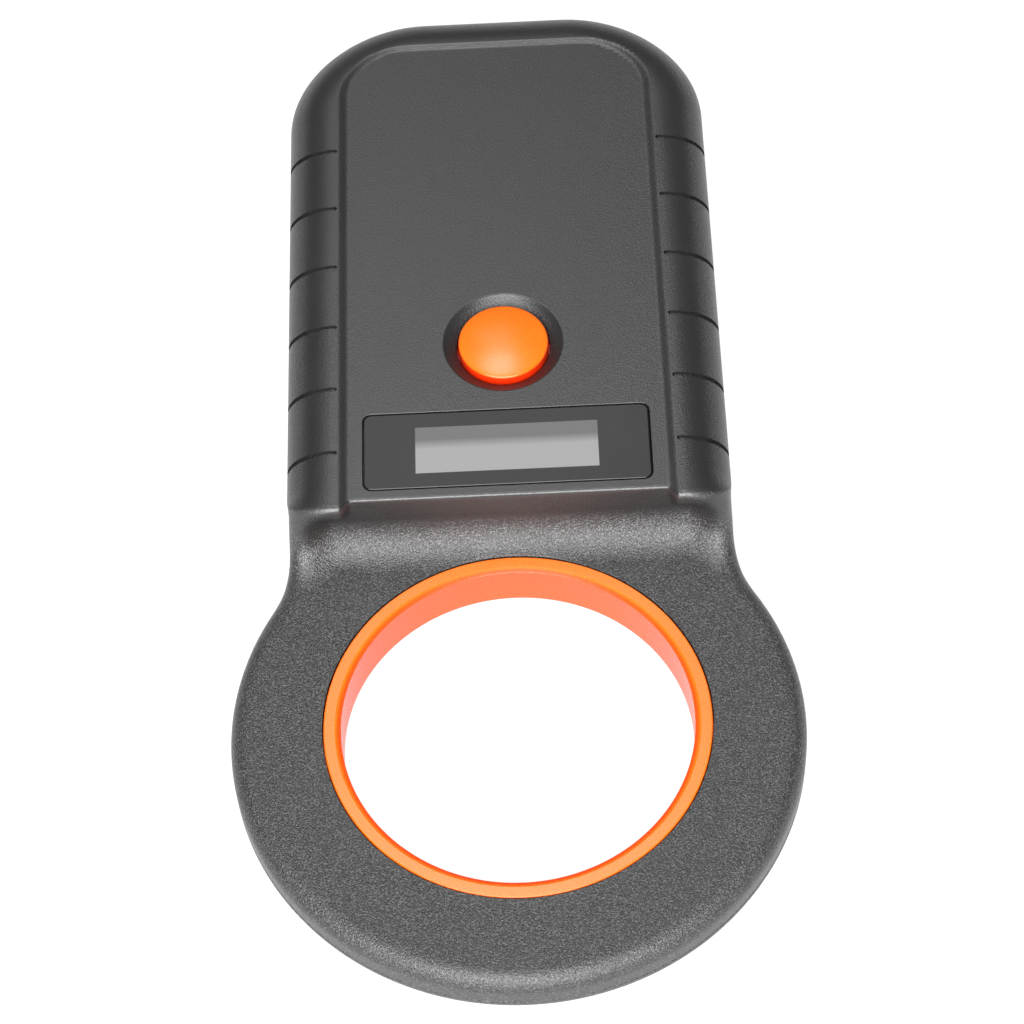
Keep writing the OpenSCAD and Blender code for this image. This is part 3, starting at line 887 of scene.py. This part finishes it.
def black_plastic():
    """Charcoal plastic, its spark-eroded grain coarser below the panel, with the grain's sparkle painted
    there as light flecks.
    """
    look = Look("charcoal_grain", **{"IOR": 1.5, "Specular_IOR_Level": 1.0})
    colour = (0.012, 0.012, 0.0123)
    broad = look.noise(14, 3)
    grain = look.noise(0.2, 2, 0.6)
    pits = look.cells(0.3)
    rough_part = look.span(look.axis("Z"), 1.0, 0.28, 17.4 * MM, 18.2 * MM)
    base = look.mix(look.spread(broad), shade(colour, 0.92), shade(colour, 1.08))
    speck = look.mix(look.span(grain, 0, 1, 0.35, 0.65), shade(colour, 0.8), shade(colour, 1.25))
    worn = look.math("MULTIPLY", look.edges(0.52, 0.62), look.span(look.noise(1.2), 0.0, 0.4, 0.35, 0.7))
    rubbed = look.mix(worn, look.mix(0.5, base, speck), shade(colour, 1.6))
    # Painted sparkle: light flecks in the base colour on the slope, fainter on the loop's face, stand in for
    # the glints of the grain.
    below_panel = look.span(look.axis("Z"), 1, 0, 11 * MM, 13.5 * MM)
    above_loop = look.span(look.axis("Z"), 0.68, 1, 8.3 * MM, 9.3 * MM)
    painted_sparkle = look.math("MINIMUM", below_panel, above_loop)
    painted_sparkle = look.math("MULTIPLY", look.span(look.noise(0.24, 1), 0, 1, 0.53, 0.62), painted_sparkle)
    look.put(look.mix(painted_sparkle, rubbed, (0.11, 0.11, 0.111)), "Base Color")
    rough = look.math("ADD", look.spread(broad, 0.35, 0.39), look.spread(grain, -0.04, 0.04))
    look.put(rough, "Roughness")
    height = look.math("ADD", look.span(grain, 0, 1), look.span(pits, 0, 0.4))
    look.put(look.bump(look.math("MULTIPLY", height, rough_part), 0.12), "Normal")
    return look


def orange_plastic():
    """Satin orange, with shade painted as a darker red down the walls of the liner and the button."""
    look = Look("orange_satin", **{
        "IOR": 1.5, "Specular_IOR_Level": 0.6, "Subsurface_Weight": 0.12,
        "Subsurface_Scale": 0.0012, "Subsurface_Radius": (1.0, 0.25, 0.05),
    })
    broad = look.noise(9, 3)
    fine = look.noise(0.5, 2)
    base = look.mix(look.spread(broad), (0.93, 0.158, 0.004), (0.95, 0.166, 0.005))
    height = look.axis("Z")
    # Painted shade: the liner's inner wall and the button's side wall get a darker red base colour.
    liner_wall_shade = look.span(height, 1, 0, (LOOP_Z - 0.26) * MM, (LOOP_Z - 0.12) * MM)
    button_wall_shade = look.span(height, 1, 0, (button_high[2] - 1.25) * MM, (button_high[2] - 0.95) * MM)
    above_liner = look.span(height, 0, 1, (LOOP_Z + 1) * MM, (LOOP_Z + 2) * MM)
    base_with_liner_shade = look.mix(liner_wall_shade, base, (0.88, 0.078, 0.003))
    button_side_shade = look.math("MULTIPLY", button_wall_shade, above_liner)
    look.put(look.mix(button_side_shade, base_with_liner_shade, (0.88, 0.03, 0.002)), "Base Color")
    look.put(look.math("ADD", look.spread(broad, 0.26, 0.3), look.spread(fine, -0.02, 0.02)), "Roughness")
    look.put(look.bump(fine, 0.004), "Normal")
    return look


def lens_acrylic():
    """A polished plate, printed black round a window that shows the unlit display, with a shadow painted
    across the window's far part.
    """
    look = Look("printed_lens_painted_shadow", **{"IOR": 1.49, "Specular_IOR_Level": 0.55})
    half_x = WINDOW[0] / 2 * MM
    half_y = WINDOW[1] / 2 * MM
    from_x = look.math("SUBTRACT", look.math("ABSOLUTE", look.axis("X"), 0), half_x)
    along = look.math("SUBTRACT", look.axis("Y"), LENS_Y * MM)
    from_y = look.math("SUBTRACT", look.math("ABSOLUTE", along, 0), half_y)
    window = look.span(look.math("MAXIMUM", from_x, from_y), 1, 0, -0.00004, 0.00004)
    # Painted shadow: the window's far part is darker, as shade from the opening's far edge.
    window_shadow_mask = look.span(along, 0, 1, 0.05 * half_y, 0.45 * half_y)
    window_with_shadow = look.mix(window_shadow_mask, (0.232, 0.232, 0.235), (0.095, 0.095, 0.098))
    tint = look.spread(look.noise(7, 2))
    printed = look.mix(tint, (0.007, 0.007, 0.0073), (0.009, 0.009, 0.0094))
    look.put(look.mix(window, printed, window_with_shadow), "Base Color")
    look.put(look.spread(look.noise(2.5, 3), 0.11, 0.14), "Roughness")
    look.put(look.bump(look.noise(12, 1), 0.002), "Normal")
    return look


def metal(name, colour, roughness, grain_mm, depth_mm=0.002):
    look = Look(name, Metallic=1.0)
    fine = look.noise(grain_mm, 3)
    base = look.mix(look.spread(look.noise(3, 2)), shade(colour, 0.9), shade(colour, 1.08))
    look.put(base, "Base Color")
    look.put(look.spread(fine, roughness - 0.06, roughness + 0.08), "Roughness")
    look.put(look.bump(fine, depth_mm), "Normal")
    return look


def circuit_board():
    """Green solder mask over fine copper tracks."""
    look = Look("solder_mask", Coat_Weight=0.3, Coat_Roughness=0.15)
    tracks = look.math("MULTIPLY", look.waves(0.9, "X", 6), look.waves(1.1, "Y", 5))
    base = look.mix(look.span(tracks, 0, 1, 0.3, 0.4), (0.006, 0.07, 0.025), (0.012, 0.13, 0.045))
    look.put(base, "Base Color")
    look.put(look.spread(look.noise(1.0), 0.3, 0.42), "Roughness")
    look.put(look.bump(tracks, 0.02), "Normal")
    return look


def copper_wire():
    """Enamelled copper, wound in close turns."""
    look = Look("wound_copper", Metallic=1.0, Coat_Weight=0.4, Coat_Roughness=0.2)
    turns = look.waves(0.3, "Z")
    look.put(look.mix(turns, (0.30, 0.09, 0.03), (0.62, 0.24, 0.09)), "Base Color")
    look.put(look.spread(look.noise(0.6), 0.25, 0.38), "Roughness")
    look.put(look.bump(turns, 0.08), "Normal")
    return look


def foil_pouch():
    """Crinkled laminated foil."""
    look = Look("foil_pouch", Metallic=0.85)
    crease = look.cells(7, "DISTANCE_TO_EDGE")
    base = look.mix(look.spread(look.noise(5, 2)), (0.52, 0.53, 0.55), (0.62, 0.63, 0.66))
    look.put(base, "Base Color")
    look.put(look.spread(look.noise(1.5, 3), 0.28, 0.42), "Roughness")
    look.put(look.bump(crease, 0.15), "Normal")
    return look


def foam_tape():
    look = Look("foam_tape", Sheen_Weight=0.2)
    bubbles = look.cells(0.4)
    look.put(look.mix(bubbles, (0.74, 0.71, 0.62), (0.82, 0.79, 0.7)), "Base Color")
    look.put(look.span(bubbles, 0.75, 0.9), "Roughness")
    look.put(look.bump(bubbles, 0.08), "Normal")
    return look


def black_tape():
    look = Look("black_tape")
    weave = look.math("MULTIPLY", look.waves(0.25, "X"), look.waves(0.25, "Y"))
    look.put(look.mix(weave, (0.012, 0.012, 0.012), (0.03, 0.03, 0.03)), "Base Color")
    look.put(look.span(weave, 0.6, 0.8), "Roughness")
    look.put(look.bump(weave, 0.02), "Normal")
    return look


def flex_film():
    """Amber film over parallel conductors."""
    look = Look("flex_film", Coat_Weight=0.4, Coat_Roughness=0.1)
    lines = look.waves(0.6, "Y")
    look.put(look.mix(look.span(lines, 0, 1, 0.4, 0.6), (0.45, 0.17, 0.03), (0.62, 0.30, 0.08)), "Base Color")
    look.put(look.spread(look.noise(1.0), 0.25, 0.35), "Roughness")
    look.put(look.bump(lines, 0.02), "Normal")
    return look


def display_glass():
    look = Look("display_glass", IOR=1.52, Coat_Weight=0.5, Coat_Roughness=0.03)
    rows = look.math("MULTIPLY", look.waves(0.35, "X"), look.waves(0.35, "Y"))
    look.put(look.mix(rows, (0.28, 0.29, 0.3), (0.34, 0.35, 0.36)), "Base Color")
    look.put(look.spread(look.noise(4), 0.08, 0.14), "Roughness")
    look.put(look.bump(rows, 0.002), "Normal")
    return look


def label_film():
    """Blank silver label with a thin printed frame."""
    look = Look("label_film", Coat_Weight=0.2, Coat_Roughness=0.2)
    middle = (label_low + label_high) / 2 * MM
    half = (label_high - label_low) / 2 * MM
    from_x = look.math("SUBTRACT", look.math("ABSOLUTE", look.axis("X"), 0), half[0] - 0.0018)
    along = look.math("ABSOLUTE", look.math("SUBTRACT", look.axis("Y"), middle[1]), 0)
    from_y = look.math("SUBTRACT", along, half[1] - 0.0018)
    edge = look.math("ABSOLUTE", look.math("MAXIMUM", from_x, from_y), 0)
    line = look.span(edge, 1, 0, 0.00008, 0.00016)
    film = look.mix(look.spread(look.noise(0.5, 3)), (0.56, 0.56, 0.56), (0.62, 0.62, 0.62))
    look.put(look.mix(line, film, (0.05, 0.05, 0.055)), "Base Color")
    look.put(look.spread(look.noise(0.8, 3), 0.38, 0.5), "Roughness")
    look.put(look.bump(look.noise(0.3, 2), 0.003), "Normal")
    return look


def slot_materials():
    looks = {
        "black_plastic": black_plastic(),
        "orange_plastic": orange_plastic(),
        "lens_acrylic": lens_acrylic(),
        "black_tape": black_tape(),
        "display_glass": display_glass(),
        "flex_film": flex_film(),
        "white_plastic": moulded("white_moulded", (0.68, 0.66, 0.6), 0.5, 0.4, 0.01),
        "circuit_board": circuit_board(),
        "chip_epoxy": moulded("chip_epoxy", (0.018, 0.018, 0.02), 0.6, 0.15, 0.012),
        "tinned_steel": metal("tinned_steel", (0.62, 0.62, 0.64), 0.3, 0.3),
        "ferrite": moulded("ferrite", (0.04, 0.04, 0.043), 0.7, 0.12, 0.02),
        "ceramic": moulded("fired_ceramic", (0.34, 0.21, 0.1), 0.5, 0.1, 0.006),
        "black_resin": moulded("black_resin", (0.02, 0.02, 0.022), 0.45, 0.3, 0.008),
        "switch_stem_plastic": moulded("stem_plastic", (0.55, 0.46, 0.25), 0.4, 0.3, 0.005),
        "copper_wire": copper_wire(),
        "foil_pouch": foil_pouch(),
        "foam_tape": foam_tape(),
        "wire_insulation": moulded("wire_insulation", (0.42, 0.02, 0.015), 0.45, 0.3, 0.006),
        "screw_steel": metal("zinc_steel", (0.5, 0.5, 0.52), 0.32, 0.15),
        "label_film": label_film(),
    }
    return {slot: look.material for slot, look in looks.items()}


def dress(pieces):
    """Gives every shown piece and CAD node the material of its slot."""
    materials = slot_materials()
    slots = {part["node"]: part["material_slot"] for part in frame["record"]["subparts"]}
    for node, piece in frame["nodes"].items():
        piece.data.materials.clear()
        piece.data.materials.append(materials[slots[node]])
    for piece in pieces:
        piece.data.materials.clear()
        piece.data.materials.append(materials[piece["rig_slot"]])
        for face in piece.data.polygons:
            face.material_index = 0


# ---------------------------------------------------------------- stage, light, camera

def make_stage():
    half = 2.0
    drop_mm = 0.02
    corners = np.array([(-1, -1, 0), (1, -1, 0), (1, 1, 0), (-1, 1, 0)]) * half / MM
    floor = add_mesh("floor", corners - (0, 0, drop_mm), [(0, 1, 2, 3)])
    look = Look("pale_floor", Roughness=0.9)
    base = look.mix(look.spread(look.noise(40)), (0.19, 0.19, 0.19), (0.21, 0.21, 0.21))
    look.put(base, "Base Color")
    look.shader.inputs["Emission Color"].default_value = (1, 1, 1, 1)
    look.shader.inputs["Emission Strength"].default_value = 0.88
    floor.data.materials.append(look.material)

    world = bpy.data.worlds.new("studio")
    bpy.context.scene.world = world
    world.use_nodes = True
    background = world.node_tree.nodes["Background"]
    background.inputs["Color"].default_value = (1, 1, 1, 1)
    background.inputs["Strength"].default_value = 0.15


def softbox(name, place, size, radiance, aim=(0, 0, 0.01)):
    """A rectangular light, its strength given as the brightness of its face."""
    light = bpy.data.lights.new(name, "AREA")
    light.shape = "RECTANGLE"
    light.size, light.size_y = size
    light.energy = radiance * math.pi * size[0] * size[1]
    lamp = bpy.data.objects.new(name, light)
    bpy.context.scene.collection.objects.link(lamp)
    lamp.location = place
    lamp.rotation_euler = (Vector(aim) - Vector(place)).to_track_quat("-Z", "Y").to_euler()
    lamp.visible_camera = False
    return lamp


def make_lights():
    softbox("overhead", (-0.08, 0.52, 0.91), (0.35, 0.62), 1.4)
    softbox("overhead_near", (-0.06, 0.22, 1.0), (0.34, 0.34), 7.2)
    softbox("front", (-0.08, -0.84, 0.76), (1.1, 0.95), 9.4)


def make_camera():
    camera = bpy.data.objects.new("camera", bpy.data.cameras.new("camera"))
    bpy.context.scene.collection.objects.link(camera)
    bpy.context.scene.camera = camera
    camera.data.sensor_width = 36
    camera.data.lens = 110.93
    camera.data.clip_start = 0.02
    camera.data.clip_end = 20
    tilt = math.radians(-33.328)
    yaw = math.radians(0.786)
    roll = math.radians(-2.552)
    turn = Matrix.Rotation(roll, 3, "Z") @ Matrix.Rotation(yaw, 3, "Y") @ Matrix.Rotation(tilt, 3, "X")
    turn = turn @ Matrix.Diagonal((1, -1, -1))
    axes = Matrix((turn[0], -turn[1], -turn[2])).transposed()
    camera.matrix_world = Matrix.Translation(Vector((6.57, -260.6, 393.1)) * MM) @ axes.to_4x4()


make_camera()
make_stage()
make_lights()
front, rear = make_covers()
pieces = [front, rear, make_liner(), make_button(), make_lens()]
dress(pieces)
bpy.context.scene.view_settings.view_transform = "Standard"
